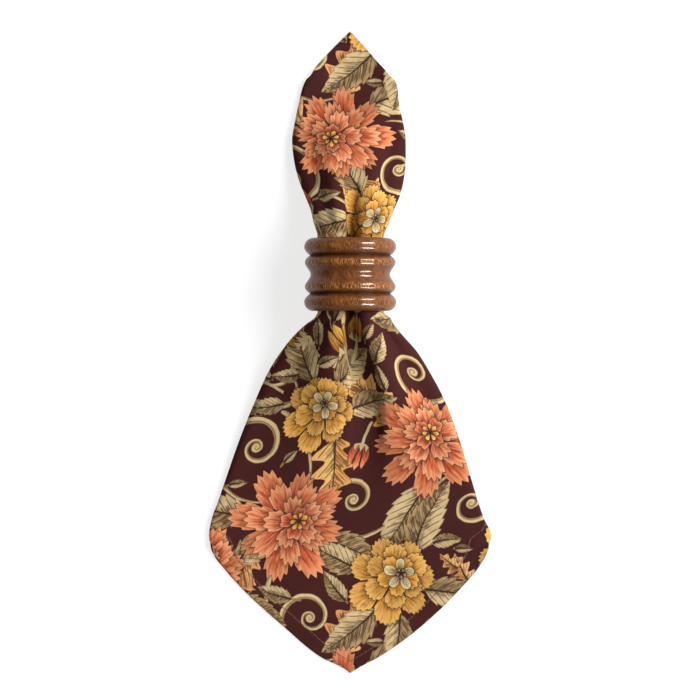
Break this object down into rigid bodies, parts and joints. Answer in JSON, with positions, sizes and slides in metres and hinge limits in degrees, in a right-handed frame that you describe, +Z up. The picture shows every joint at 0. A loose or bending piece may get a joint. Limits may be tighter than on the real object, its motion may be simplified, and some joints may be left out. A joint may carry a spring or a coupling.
{
  "type": "napkin in a ring",
  "caption": "Printed cloth napkin folded square and gathered through a turned wooden ring, with a wide pointed skirt on one side and a short pointed leaf on the other.",
  "frame": {"origin": "on the surface that the piece lies on, under the middle of its bounding box", "axes": "+Y from the long lower point, through the ring, to the tip of the upper leaf; +Z up from the surface; +X across, to the right when the leaf points away"},
  "size_m": [0.1408, 0.32, 0.0453],
  "materials": {
    "napkin": "matte printed cotton, dark red-brown ground with coral, ochre and sage flowers and leaves",
    "ring": "turned brown wood, satin varnish"
  },
  "bodies": {
    "root": {"napkin": "napkin", "ring": "ring"}
  },
  "joints": []
}
